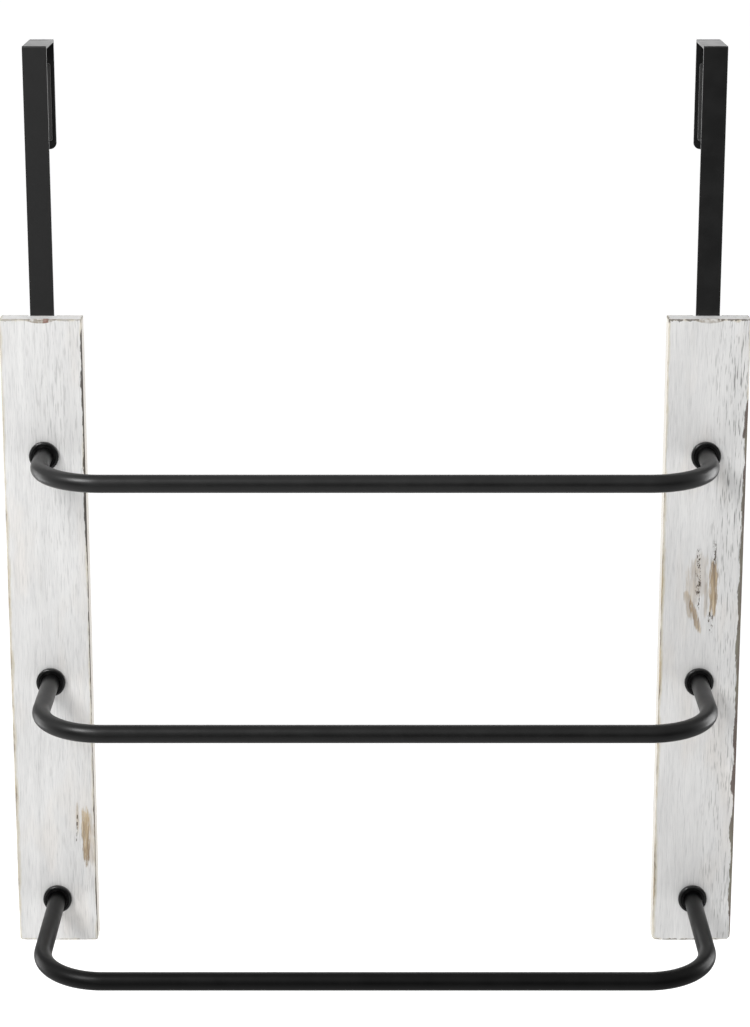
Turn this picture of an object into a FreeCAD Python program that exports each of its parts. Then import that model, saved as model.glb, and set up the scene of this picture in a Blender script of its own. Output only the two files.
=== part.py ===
import FreeCAD, Part
import math
import os

import Sketcher
from FreeCAD import Placement, Rotation, Vector

# Over-the-door towel rack: two whitewashed boards hang from two flat steel door
# hooks and carry three U-shaped tubular bars, each one standing out further than
# the one above it.
#
# Frame: +Z up, -Y is the front that faces the room, +X is to the right seen from
# the front. The origin is the middle of the door's top front edge: the hooks'
# seats lie in z = 0 and the backs of the boards in y = 0.

doc = FreeCAD.newDocument("towel_rack")

# ---------------------------------------------------------------- dimensions, mm
SIZES = [
    ("board_spacing", 445, "from the centre of one board to the centre of the other"),
    ("board_width", 55, "board, side to side"),
    ("board_length", 448, "board, top to bottom"),
    ("board_thickness", 14, "board, front to back"),
    ("board_edge", 1, "worn rounding of the board's front edges"),
    ("notch_width", 19.5, "whittled notch in the top front edge"),
    ("notch_radius", 35, "sweep of the knife that cut the notch"),
    ("top_row_drop", 94, "board top down to the top bar"),
    ("row_pitch", 161, "from one bar down to the next"),
    ("groove_width", 19, "groove in the board's back that takes the hook's tail"),
    ("groove_depth", 2.8, "depth of that groove"),
    ("strap_width", 16, "flat steel of the hooks"),
    ("strap_thickness", 2, "flat steel of the hooks"),
    ("hook_rise", 180, "board top up to the top of the hook"),
    ("hook_span", 37.7, "inside the hook, from leg to leg"),
    ("hook_leg", 74, "hook's rear leg, top to bottom"),
    ("hook_tail", 72, "length of the strap in the board's groove"),
    ("outer_bend", 1.2, "outside radius of the hook's bends, which are pressed sharp"),
    ("inner_bend", 0.4, "inside radius of those bends"),
    ("strap_corner", 4.5, "rounded corners of the strap's ends"),
    ("tube_diameter", 12, "bar tube, outside"),
    ("tube_wall", 1, "bar tube"),
    ("bend_radius", 44, "bar bend, to the tube's centre line"),
    ("top_projection", 67, "board front to the top bar's centre line"),
    ("middle_projection", 96, "board front to the middle bar's centre line"),
    ("bottom_projection", 125, "board front to the bottom bar's centre line"),
    ("socket_depth", 6, "how far a tube's end goes into the board"),
    ("fit_gap", 0.1, "radial gap of a sliding fit"),
    ("collar_diameter", 20, "collar round a bar's end"),
    ("collar_thickness", 3, "collar, front to back"),
    ("collar_edge", 1.2, "rounding of the collar's front rim"),
    ("plug_length", 14, "threaded plug in a tube's end"),
    ("bar_screw_diameter", 5, "machine screw that holds a bar"),
    ("bar_screw_length", 16, "under its head"),
    ("bar_screw_head", 9, "diameter of its pan head"),
    ("bar_screw_head_height", 2.8, "height of its pan head"),
    ("bar_screw_key", 3, "across the flats of its hexagon socket"),
    ("bar_screw_key_depth", 1.6, "depth of its hexagon socket"),
    ("washer_diameter", 10, "washer under that head"),
    ("washer_thickness", 1, "washer under that head"),
    ("counterbore_diameter", 11, "recess in the board's back for head and washer"),
    ("counterbore_depth", 4.5, "depth of that recess"),
    ("clearance_diameter", 5.5, "screw hole through the rest of the board"),
    ("hook_screw_diameter", 3.8, "wood screw that holds a hook"),
    ("hook_screw_length", 11, "overall length of that screw"),
    ("hook_screw_head", 7.4, "diameter of its countersunk head"),
    ("hook_screw_slot", 1, "width of the cross in its head"),
    ("hook_screw_top", 18, "board top down to the upper hook screw"),
    ("hook_screw_pitch", 36, "upper hook screw to the lower one"),
    ("pad_width", 11, "felt strip inside the hook's rear leg"),
    ("pad_length", 52, "length of that strip"),
    ("pad_thickness", 1.5, "thickness of that strip"),
    ("pad_margin", 6, "bottom of the leg up to the strip"),
    ("bumper_diameter", 14, "felt disc on the back of a board"),
    ("bumper_thickness", 1.5, "thickness of that disc"),
    ("bumper_height", 12, "board bottom up to the disc's centre"),
]

sheet = doc.addObject("Spreadsheet::Sheet", "Sizes")
for line, (alias, value, note) in enumerate(SIZES, start=1):
    sheet.set(f"A{line}", str(value))
    sheet.setAlias(f"A{line}", alias)
    sheet.set(f"B{line}", note)
doc.recompute()

SIDES = {"left": -1, "right": 1}
ROWS = ("top", "middle", "bottom")

# Places that several sub-parts share, as formulas on the sheet.
BOARD_TOP = "(Sizes.strap_thickness - Sizes.hook_rise)"
BOARD_BOTTOM = f"({BOARD_TOP} - Sizes.board_length)"
BOARD_FRONT = "(-Sizes.board_thickness)"
GROOVE_FLOOR = "(-Sizes.groove_depth)"
STRAP_BACK = "(Sizes.strap_thickness - Sizes.groove_depth)"
LEG_INNER = f"({STRAP_BACK} + Sizes.hook_span)"
SOCKET_FLOOR = "(Sizes.socket_depth - Sizes.board_thickness)"
COUNTERBORE_FLOOR = "(-Sizes.counterbore_depth)"
HEAD_SEAT = f"({COUNTERBORE_FLOOR} + Sizes.washer_thickness)"

# A cylinder stands on +Z; this turn lays it along -Y, towards the front.
TO_THE_FRONT = Rotation(Vector(1, 0, 0), 90)


def size(alias):
    """A driving dimension, as a plain number."""
    return float(sheet.get(alias))


def side_x(side):
    return f"({SIDES[side]} * Sizes.board_spacing / 2)"


def row_z(row):
    return f"({BOARD_TOP} - Sizes.top_row_drop - {ROWS.index(row)} * Sizes.row_pitch)"


def hook_screw_z(place):
    step = ("upper", "lower").index(place)
    return f"({BOARD_TOP} - Sizes.hook_screw_top - {step} * Sizes.hook_screw_pitch)"


def bind(item, formulas):
    for path, formula in formulas.items():
        item.setExpression(path, formula)
    return item


def bind_base(item, x, y, z):
    places = {"Placement.Base.x": x, "Placement.Base.y": y, "Placement.Base.z": z}
    return bind(item, places)


# ------------------------------------------------------- primitives and booleans
def block(name, width, depth, height, x, y, z):
    """Box centred on x, from y towards the back and from z upwards."""
    item = doc.addObject("Part::Box", name)
    bind(item, {"Length": width, "Width": depth, "Height": height})
    return bind_base(item, f"{x} - {width} / 2", y, z)


def rod(name, diameter, length, x, y, z):
    """Cylinder along Y whose back end is at y and which runs to the front."""
    item = doc.addObject("Part::Cylinder", name)
    item.Placement = Placement(Vector(), TO_THE_FRONT)
    bind(item, {"Radius": f"{diameter} / 2", "Height": length})
    return bind_base(item, x, y, z)


def taper(name, back_diameter, front_diameter, length, x, y, z):
    """Cone along Y whose back end is at y and which runs to the front."""
    item = doc.addObject("Part::Cone", name)
    item.Placement = Placement(Vector(), TO_THE_FRONT)
    bind(item, {"Radius1": f"{back_diameter} / 2", "Radius2": f"{front_diameter} / 2"})
    bind(item, {"Height": length})
    return bind_base(item, x, y, z)


def join(name, pieces):
    item = doc.addObject("Part::MultiFuse", name)
    item.Shapes = pieces
    item.Refine = True
    return item


def cut(name, base, tool):
    item = doc.addObject("Part::Cut", name)
    item.Base = base
    item.Tool = tool
    return item


def round_edges(name, base, radius, wanted):
    """Round those edges of base for which wanted(edge) is true."""
    doc.recompute()
    chosen = [
        (number, radius, radius)
        for number, edge in enumerate(base.Shape.Edges, start=1)
        if wanted(edge)
    ]
    item = doc.addObject("Part::Fillet", name)
    item.Base = base
    item.Edges = chosen
    return item


# ------------------------------------------------------------ bodies and sketches
def origin_plane(body, role):
    return [part for part in body.Origin.OriginFeatures if part.Role == role][0]


def new_sketch(body, name, role):
    sketch = body.newObject("Sketcher::SketchObject", name)
    sketch.AttachmentSupport = [(origin_plane(body, role), "")]
    sketch.MapMode = "FlatFace"
    return sketch


def dimension(sketch, kind, references, value, formula):
    """A driving constraint: its present value, and the formula it follows."""
    number = sketch.addConstraint(Sketcher.Constraint(kind, *references, value))
    sketch.setExpression(f"Constraints[{number}]", formula)


def fillet_body(body, name, base, radius, formula, wanted):
    doc.recompute()
    edges = [f"Edge{n}" for n, edge in enumerate(base.Shape.Edges, start=1) if wanted(edge)]
    item = body.newObject("PartDesign::Fillet", name)
    item.Base = (base, edges)
    item.Radius = radius
    item.setExpression("Radius", formula)
    return item


def runs_along(edge, axis):
    if not isinstance(edge.Curve, Part.Line):
        return False
    return abs(edge.tangentAt(edge.FirstParameter).dot(axis)) > 0.999


# ------------------------------------------------------------------------ boards
def build_board(side):
    """Board with its worn front edges, knife notch, back groove and screw holes."""
    name = f"{side}_board"
    x = side_x(side)
    blank = block(f"{name}_blank", "Sizes.board_width", "Sizes.board_thickness",
                  "Sizes.board_length", x, BOARD_FRONT, BOARD_BOTTOM)
    front = -size("board_thickness")
    worn = round_edges(f"{name}_worn", blank, size("board_edge"),
                       lambda edge: abs(edge.BoundBox.YMax - front) < 1e-6)

    groove_run = "(Sizes.hook_tail + 1)"
    cutters = [
        block(f"{name}_groove", "Sizes.groove_width", "Sizes.groove_depth",
              groove_run, x, GROOVE_FLOOR, f"{BOARD_TOP} - {groove_run}"),
        rod(f"{name}_groove_end", "Sizes.groove_width", "Sizes.groove_depth",
            x, "0", f"{BOARD_TOP} - {groove_run}"),
        knife_cut(f"{name}_notch", x),
    ]
    for row in ROWS:
        z = row_z(row)
        cutters.append(rod(f"{name}_{row}_socket",
                           "(Sizes.tube_diameter + 2 * Sizes.fit_gap)",
                           "Sizes.socket_depth", x, SOCKET_FLOOR, z))
        cutters.append(rod(f"{name}_{row}_clearance", "Sizes.clearance_diameter",
                           "Sizes.board_thickness", x, "0", z))
        cutters.append(rod(f"{name}_{row}_counterbore", "Sizes.counterbore_diameter",
                           "Sizes.counterbore_depth", x, "0", z))
    for place in ("upper", "lower"):
        cutters.append(rod(f"{name}_{place}_pilot",
                           "(Sizes.hook_screw_diameter + Sizes.fit_gap)",
                           "(Sizes.hook_screw_length + Sizes.fit_gap)",
                           x, STRAP_BACK, hook_screw_z(place)))
    return cut(name, worn, join(f"{name}_cutters", cutters))


def knife_cut(name, x):
    """Large cylinder, tilted 45 degrees, that shaves a lens off the front edge."""
    radius = "Sizes.notch_radius"
    shave = f"({radius} - sqrt({radius} ^ 2 - (Sizes.notch_width / 2) ^ 2))"
    reach = f"(({radius} - {shave}) / sqrt(2))"
    half_length = 20
    item = doc.addObject("Part::Cylinder", name)
    item.Placement = Placement(Vector(), Rotation(Vector(1, 0, 0), 135))
    bind(item, {"Radius": radius, "Height": f"{2 * half_length}"})
    slide = half_length / math.sqrt(2)
    return bind_base(item, x, f"{BOARD_FRONT} - {reach} + {slide}",
                     f"{BOARD_TOP} + {reach} + {slide}")


# ------------------------------------------------------------------------- hooks
def build_hook(side):
    """Flat strap bent over the door: tail in the board, bridge and rear leg."""
    name = f"{side}_door_hook"
    body = doc.addObject("PartDesign::Body", name)
    bind(body, {"Placement.Base.x": side_x(side)})

    thickness = size("strap_thickness")
    front = -size("groove_depth")
    back = front + thickness
    inner = back + size("hook_span")
    tail = thickness - size("hook_rise") - size("hook_tail")
    foot = thickness - size("hook_leg")
    tail_formula = f"{BOARD_TOP} - Sizes.hook_tail"
    foot_formula = "Sizes.strap_thickness - Sizes.hook_leg"
    outer_formula = f"{LEG_INNER} + Sizes.strap_thickness"
    corners = [
        (front, GROOVE_FLOOR, tail, tail_formula),
        (front, GROOVE_FLOOR, thickness, "Sizes.strap_thickness"),
        (inner + thickness, outer_formula, thickness, "Sizes.strap_thickness"),
        (inner + thickness, outer_formula, foot, foot_formula),
        (inner, LEG_INNER, foot, foot_formula),
        (inner, LEG_INNER, 0, "0"),
        (back, STRAP_BACK, 0, "0"),
        (back, STRAP_BACK, tail, tail_formula),
    ]
    profile = new_sketch(body, f"{name}_profile", "YZ_Plane")
    for number, corner in enumerate(corners):
        following = corners[(number + 1) % len(corners)]
        start = Vector(corner[0], corner[2], 0)
        end = Vector(following[0], following[2], 0)
        profile.addGeometry(Part.LineSegment(start, end), False)
    for number in range(len(corners)):
        following = (number + 1) % len(corners)
        profile.addConstraint(Sketcher.Constraint("Coincident", number, 2, following, 1))
    for number, (y, y_formula, z, z_formula) in enumerate(corners):
        dimension(profile, "DistanceX", (-1, 1, number, 1), y, y_formula)
        dimension(profile, "DistanceY", (-1, 1, number, 1), z, z_formula)

    strip = body.newObject("PartDesign::Pad", f"{name}_strip")
    strip.Profile = profile
    strip.Midplane = True
    strip.setExpression("Length", "Sizes.strap_width")

    along = Vector(1, 0, 0)
    outer = fillet_body(
        body, f"{name}_outer_bends", strip, size("outer_bend"), "Sizes.outer_bend",
        lambda edge: runs_along(edge, along) and edge.BoundBox.ZMin > thickness - 0.01)
    inside = fillet_body(
        body, f"{name}_inner_bends", outer, size("inner_bend"), "Sizes.inner_bend",
        lambda edge: runs_along(edge, along) and abs(edge.BoundBox.Center.z) < 0.01)
    through = Vector(0, 1, 0)
    fillet_body(
        body, f"{name}_ends", inside, size("strap_corner"), "Sizes.strap_corner",
        lambda edge: runs_along(edge, through) and edge.BoundBox.ZMax < foot + 0.01)

    head_depth = "(Sizes.hook_screw_head - Sizes.hook_screw_diameter) / 2"
    for place in ("upper", "lower"):
        hole = body.newObject("PartDesign::SubtractiveCylinder", f"{name}_{place}_hole")
        hole.Placement = Placement(Vector(), TO_THE_FRONT)
        bind(hole, {"Radius": "Sizes.hook_screw_diameter / 2 + Sizes.fit_gap",
                    "Height": "2 * Sizes.strap_thickness"})
        bind_base(hole, "0", f"{STRAP_BACK} + Sizes.fit_gap", hook_screw_z(place))
        sink = body.newObject("PartDesign::SubtractiveCone", f"{name}_{place}_sink")
        sink.Placement = Placement(Vector(), TO_THE_FRONT)
        bind(sink, {"Radius1": "Sizes.hook_screw_head / 2 + Sizes.fit_gap",
                    "Radius2": "Sizes.hook_screw_diameter / 2 + Sizes.fit_gap",
                    "Height": head_depth})
        bind_base(sink, "0", STRAP_BACK, hook_screw_z(place))
    return body


def build_hook_screw(side, place):
    """Countersunk wood screw, driven from the back through the hook's tail."""
    name = f"{side}_{place}_hook_screw"
    x = side_x(side)
    z = hook_screw_z(place)
    head_depth = "(Sizes.hook_screw_head - Sizes.hook_screw_diameter) / 2"
    tip = "(Sizes.hook_screw_diameter)"
    shank = f"(Sizes.hook_screw_length - {tip})"
    pieces = [
        taper(f"{name}_head", "Sizes.hook_screw_head", "Sizes.hook_screw_diameter",
              head_depth, x, STRAP_BACK, z),
        rod(f"{name}_shank", "Sizes.hook_screw_diameter", shank, x, STRAP_BACK, z),
        taper(f"{name}_tip", "Sizes.hook_screw_diameter", "0.6", tip,
              x, f"{STRAP_BACK} - {shank}", z),
    ]
    slot = "Sizes.hook_screw_slot"
    arm = "(Sizes.hook_screw_head / 2)"
    cross = [
        block(f"{name}_slot_across", arm, slot, slot, x,
              f"{STRAP_BACK} - {slot}", f"{z} - {slot} / 2"),
        block(f"{name}_slot_up", slot, slot, arm, x,
              f"{STRAP_BACK} - {slot}", f"{z} - {arm} / 2"),
    ]
    return cut(name, join(f"{name}_solid", pieces), join(f"{name}_cross", cross))


def build_hook_pad(side):
    """Felt strip inside the rear leg, which keeps the steel off the door."""
    name = f"{side}_hook_pad"
    bottom = "(Sizes.strap_thickness - Sizes.hook_leg + Sizes.pad_margin)"
    strip = block(f"{name}_strip", "Sizes.pad_width", "Sizes.pad_thickness",
                  "Sizes.pad_length", side_x(side),
                  f"{LEG_INNER} - Sizes.pad_thickness", bottom)
    return round_edges(name, strip, size("pad_thickness"),
                       lambda edge: runs_along(edge, Vector(0, 1, 0)))


# -------------------------------------------------------------------------- bars
def build_bar(row):
    """U-shaped bar: a ring section swept along leg, bend, rail, bend and leg."""
    name = f"{row}_bar"
    projection = f"Sizes.{row}_projection"
    body = doc.addObject("PartDesign::Body", name)
    bind(body, {"Placement.Base.z": row_z(row)})

    half = size("board_spacing") / 2
    bend = size("bend_radius")
    start = size("socket_depth") - size("board_thickness")
    rail = -size("board_thickness") - size(f"{row}_projection")
    rail_formula = f"{BOARD_FRONT} - {projection}"
    path = new_sketch(body, f"{name}_path", "XY_Plane")
    left_centre = Part.Circle(Vector(bend - half, rail + bend, 0), Vector(0, 0, 1), bend)
    right_centre = Part.Circle(Vector(half - bend, rail + bend, 0), Vector(0, 0, 1), bend)
    path.addGeometry([
        Part.LineSegment(Vector(-half, start, 0), Vector(-half, rail + bend, 0)),
        Part.ArcOfCircle(left_centre, math.pi, 1.5 * math.pi),
        Part.LineSegment(Vector(bend - half, rail, 0), Vector(half - bend, rail, 0)),
        Part.ArcOfCircle(right_centre, 1.5 * math.pi, 2 * math.pi),
        Part.LineSegment(Vector(half, rail + bend, 0), Vector(half, start, 0)),
    ], False)
    for number in range(4):
        path.addConstraint(Sketcher.Constraint("Tangent", number, 2, number + 1, 1))
    path.addConstraint(Sketcher.Constraint("Vertical", 0))
    path.addConstraint(Sketcher.Constraint("Horizontal", 2))
    path.addConstraint(Sketcher.Constraint("Equal", 1, 3))
    dimension(path, "Radius", (1,), bend, "Sizes.bend_radius")
    dimension(path, "DistanceX", (-1, 1, 0, 1), -half, "-Sizes.board_spacing / 2")
    dimension(path, "DistanceX", (-1, 1, 4, 2), half, "Sizes.board_spacing / 2")
    dimension(path, "DistanceY", (-1, 1, 0, 1), start, SOCKET_FLOOR)
    dimension(path, "DistanceY", (-1, 1, 4, 2), start, SOCKET_FLOOR)
    dimension(path, "DistanceY", (-1, 1, 2, 1), rail, rail_formula)

    ring = new_sketch(body, f"{name}_ring", "XZ_Plane")
    ring.setExpression("AttachmentOffset.Base.z", f"-{SOCKET_FLOOR}")
    radii = [
        (size("tube_diameter") / 2, "Sizes.tube_diameter / 2"),
        (size("tube_diameter") / 2 - size("tube_wall"),
         "Sizes.tube_diameter / 2 - Sizes.tube_wall"),
    ]
    for number, (radius, formula) in enumerate(radii):
        circle = Part.Circle(Vector(-half, 0, 0), Vector(0, 0, 1), radius)
        ring.addGeometry(circle, False)
        dimension(ring, "Radius", (number,), radius, formula)
        dimension(ring, "DistanceX", (-1, 1, number, 3), -half, "-Sizes.board_spacing / 2")
        ring.addConstraint(Sketcher.Constraint("PointOnObject", number, 3, -1))

    tube = body.newObject("PartDesign::AdditivePipe", f"{name}_tube")
    tube.Profile = ring
    tube.Spine = path
    doc.recompute()

    section = math.pi * (radii[0][0] ** 2 - radii[1][0] ** 2)
    expected = section * path.Shape.Length
    if abs(tube.Shape.Volume - expected) > 0.001 * expected:
        raise RuntimeError(f"{name}: volume {tube.Shape.Volume:.0f}, expected {expected:.0f}")
    return body


def build_collar(side, row):
    """Ring with a rounded rim that covers the hole where a bar enters the board."""
    name = f"{side}_{row}_collar"
    place = (side_x(side), BOARD_FRONT, row_z(row))
    disc = rod(f"{name}_disc", "Sizes.collar_diameter", "Sizes.collar_thickness", *place)
    front = -size("board_thickness") - size("collar_thickness")
    rimmed = round_edges(f"{name}_rim", disc, size("collar_edge"),
                         lambda edge: abs(edge.BoundBox.YMax - front) < 1e-6)
    bore = rod(f"{name}_bore", "(Sizes.tube_diameter + 2 * Sizes.fit_gap)",
               "Sizes.collar_thickness", *place)
    return cut(name, rimmed, bore)


def build_tube_plug(side, row):
    """Threaded steel plug fixed in the tube's end; its screw comes from behind."""
    name = f"{side}_{row}_tube_plug"
    place = (side_x(side), SOCKET_FLOOR, row_z(row))
    bore = "(Sizes.tube_diameter - 2 * Sizes.tube_wall - Sizes.fit_gap)"
    blank = rod(f"{name}_blank", bore, "Sizes.plug_length", *place)
    thread = rod(f"{name}_thread", "(Sizes.bar_screw_diameter + Sizes.fit_gap)",
                 "Sizes.plug_length", *place)
    return cut(name, blank, thread)


def build_bar_screw(side, row):
    """Pan-head machine screw with a hexagon socket."""
    name = f"{side}_{row}_bar_screw"
    x = side_x(side)
    z = row_z(row)
    back = f"({HEAD_SEAT} + Sizes.bar_screw_head_height)"
    head = rod(f"{name}_head", "Sizes.bar_screw_head", "Sizes.bar_screw_head_height",
               x, back, z)
    head_back = size("washer_thickness") + size("bar_screw_head_height") - size(
        "counterbore_depth")
    domed = round_edges(f"{name}_pan", head, 0.4 * size("bar_screw_head_height"),
                        lambda edge: abs(edge.BoundBox.YMin - head_back) < 1e-6)
    shank = rod(f"{name}_shank", "Sizes.bar_screw_diameter", "Sizes.bar_screw_length",
                x, HEAD_SEAT, z)
    key = doc.addObject("Part::Prism", f"{name}_key")
    key.Polygon = 6
    key.Placement = Placement(Vector(), TO_THE_FRONT)
    bind(key, {"Circumradius": "Sizes.bar_screw_key / sqrt(3)",
               "Height": "Sizes.bar_screw_key_depth"})
    bind_base(key, x, back, z)
    return cut(name, join(f"{name}_solid", [domed, shank]), key)


def build_bar_washer(side, row):
    name = f"{side}_{row}_bar_washer"
    place = (side_x(side), HEAD_SEAT, row_z(row))
    disc = rod(f"{name}_disc", "Sizes.washer_diameter", "Sizes.washer_thickness", *place)
    hole = rod(f"{name}_hole", "(Sizes.bar_screw_diameter + 2 * Sizes.fit_gap)",
               "Sizes.washer_thickness", *place)
    return cut(name, disc, hole)


def build_bumper(side):
    """Felt disc on the back of the board, near its lower end."""
    return rod(f"{side}_bumper", "Sizes.bumper_diameter", "Sizes.bumper_thickness",
               side_x(side), "Sizes.bumper_thickness",
               f"{BOARD_BOTTOM} + Sizes.bumper_height")


# ---------------------------------------------------------------------- assembly
def build_all():
    parts = [build_bar(row) for row in ROWS]
    for side in SIDES:
        parts.append(build_board(side))
        parts.append(build_hook(side))
        parts.append(build_hook_pad(side))
        parts.append(build_bumper(side))
        for place in ("upper", "lower"):
            parts.append(build_hook_screw(side, place))
        for row in ROWS:
            parts.append(build_collar(side, row))
            parts.append(build_tube_plug(side, row))
            parts.append(build_bar_screw(side, row))
            parts.append(build_bar_washer(side, row))
    return parts


def check(parts):
    for item in doc.Objects:
        if "Invalid" in item.State or "Error" in item.State:
            raise RuntimeError(f"{item.Label}: {item.State}")
    for part in parts:
        if part.Shape.isNull() or not part.Shape.isValid():
            raise RuntimeError(f"{part.Label}: no valid shape")
        if len(part.Shape.Solids) != 1:
            raise RuntimeError(f"{part.Label}: {len(part.Shape.Solids)} solids, expected one")


sub_parts = build_all()
doc.recompute()
check(sub_parts)
os.makedirs("parts", exist_ok=True)
for sub_part in sub_parts:
    sub_part.Shape.exportStep(f"parts/{sub_part.Label}.step")
print(f"{len(sub_parts)} sub-parts written")
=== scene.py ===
import math

import bmesh
import bpy
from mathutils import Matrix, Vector, noise


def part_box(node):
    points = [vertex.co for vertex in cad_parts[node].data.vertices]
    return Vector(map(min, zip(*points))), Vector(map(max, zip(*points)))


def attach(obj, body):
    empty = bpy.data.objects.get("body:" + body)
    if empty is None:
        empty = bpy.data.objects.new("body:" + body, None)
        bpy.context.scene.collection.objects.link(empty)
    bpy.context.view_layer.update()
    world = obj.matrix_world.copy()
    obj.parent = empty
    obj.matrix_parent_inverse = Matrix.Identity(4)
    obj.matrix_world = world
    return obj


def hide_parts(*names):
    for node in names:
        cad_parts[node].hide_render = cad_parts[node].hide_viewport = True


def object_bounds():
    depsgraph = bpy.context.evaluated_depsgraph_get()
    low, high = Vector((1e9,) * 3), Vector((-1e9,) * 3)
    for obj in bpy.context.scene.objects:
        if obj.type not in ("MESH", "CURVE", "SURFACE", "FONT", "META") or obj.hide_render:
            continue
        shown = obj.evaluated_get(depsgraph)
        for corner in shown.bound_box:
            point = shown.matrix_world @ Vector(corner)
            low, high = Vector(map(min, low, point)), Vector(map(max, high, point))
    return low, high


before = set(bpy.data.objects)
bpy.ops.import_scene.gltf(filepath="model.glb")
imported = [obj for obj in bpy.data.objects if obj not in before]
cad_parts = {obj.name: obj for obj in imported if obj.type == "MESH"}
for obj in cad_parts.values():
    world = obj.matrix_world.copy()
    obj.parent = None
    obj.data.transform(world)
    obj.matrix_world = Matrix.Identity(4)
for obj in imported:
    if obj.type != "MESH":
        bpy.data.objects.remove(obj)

# Over-the-door towel rack: two whitewashed boards, two flat steel door hooks and
# three U-shaped tubular bars. Metres, +Z up, -Y is the front, +X is to the right.

cad_low, cad_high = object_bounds()

MM = 0.001
SIDES = ("left", "right")
ROWS = ("top", "middle", "bottom")
PLACES = ("upper", "lower")

# ------------------------------------------------------------- sizes, in metres
GROOVE_WIDTH = 19 * MM
GROOVE_DEPTH = 2.8 * MM
GROOVE_SPARE = 1 * MM
NOTCH_WIDTH = 19.5 * MM
NOTCH_RADIUS = 35 * MM
SOCKET_DEPTH = 6 * MM
FIT_GAP = 0.1 * MM
COUNTERBORE_RADIUS = 5.5 * MM
COUNTERBORE_DEPTH = 4.5 * MM
CLEARANCE_RADIUS = 2.75 * MM
STRAP_THICKNESS = 2 * MM
STRAP_OUTER_BEND = 1.2 * MM
STRAP_INNER_BEND = 0.4 * MM
STRAP_CORNER = 4.5 * MM
STRAP_EDGE = 0.3 * MM
PAD_MARGIN = 6 * MM
SCREW_SHANK_RADIUS = 1.9 * MM
SCREW_HEAD_RADIUS = 3.7 * MM
TUBE_WALL = 1 * MM
BEND_RADIUS = 44 * MM
TUBE_LIP = 0.3 * MM


# ------------------------------------------------------------------ mesh helpers
def centre_of(node):
    low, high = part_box(node)
    return (low + high) / 2


def skin(rings, ends):
    """Points and faces of a skin through rings that have as many points each.
    ends is "caps" for a closed rod, or "loop" where the last ring meets the first."""
    count = len(rings[0])
    points = [point for ring in rings for point in ring]
    faces = []
    spans = len(rings) if ends == "loop" else len(rings) - 1
    for i in range(spans):
        here = i * count
        there = (i + 1) % len(rings) * count
        for j in range(count):
            k = (j + 1) % count
            faces.append((here + j, here + k, there + k, there + j))
    if ends == "caps":
        last = (len(rings) - 1) * count
        faces.append(tuple(reversed(range(count))))
        faces.append(tuple(range(last, last + count)))
    return points, faces


def turned(profile, centre, segments, ends):
    """Rings of a turned solid. Profile points are (radius, y) about a line along Y."""
    rings = []
    for radius, y in profile:
        ring = []
        for step in range(segments):
            turn = 2 * math.pi * step / segments
            ring.append(Vector((centre.x + radius * math.cos(turn), y,
                                centre.z + radius * math.sin(turn))))
        rings.append(ring)
    return skin(rings, ends)


def arc(centre, radius, start, end, steps):
    """Points (a, b) on an arc, from angle start to angle end in degrees."""
    points = []
    for step in range(steps + 1):
        turn = math.radians(start + (end - start) * step / steps)
        points.append((centre[0] + radius * math.cos(turn),
                       centre[1] + radius * math.sin(turn)))
    return points


def new_object(name, points, faces):
    mesh = bpy.data.meshes.new(name)
    mesh.from_pydata([tuple(point) for point in points], [], faces)
    edit = bmesh.new()
    edit.from_mesh(mesh)
    bmesh.ops.recalc_face_normals(edit, faces=edit.faces)
    edit.to_mesh(mesh)
    edit.free()
    item = bpy.data.objects.new(name, mesh)
    bpy.context.scene.collection.objects.link(item)
    return item


def bake_modifiers(item):
    graph = bpy.context.evaluated_depsgraph_get()
    mesh = bpy.data.meshes.new_from_object(item.evaluated_get(graph))
    item.modifiers.clear()
    item.data = mesh


def subtract(item, points, faces):
    """Cuts the solid of those points and faces out of item."""
    cutter = new_object("cutter", points, faces)
    cut = item.modifiers.new("cut", "BOOLEAN")
    cut.operation = "DIFFERENCE"
    cut.solver = "EXACT"
    cut.object = cutter
    bake_modifiers(item)
    bpy.data.objects.remove(cutter)


def keep_flats_flat(item):
    """Large faces set the normals, so that flats look flat up to their soft edges."""
    weigh = item.modifiers.new("weigh", "WEIGHTED_NORMAL")
    weigh.keep_sharp = True
    bake_modifiers(item)


def shade(item, sharp_degrees):
    """Smooth shading, apart from edges that turn by more than sharp_degrees."""
    limit = math.radians(sharp_degrees)
    edit = bmesh.new()
    edit.from_mesh(item.data)
    for face in edit.faces:
        face.smooth = True
    for edge in edit.edges:
        edge.smooth = not edge.is_manifold or edge.calc_face_angle(0) < limit
    edit.to_mesh(item.data)
    edit.free()


def finish_piece(item, material, node, sharp_degrees):
    """Shades the piece and puts it in the place of its CAD node."""
    shade(item, sharp_degrees)
    item.data.materials.clear()
    item.data.materials.append(material)
    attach(item, "root")
    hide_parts(node)


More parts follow.
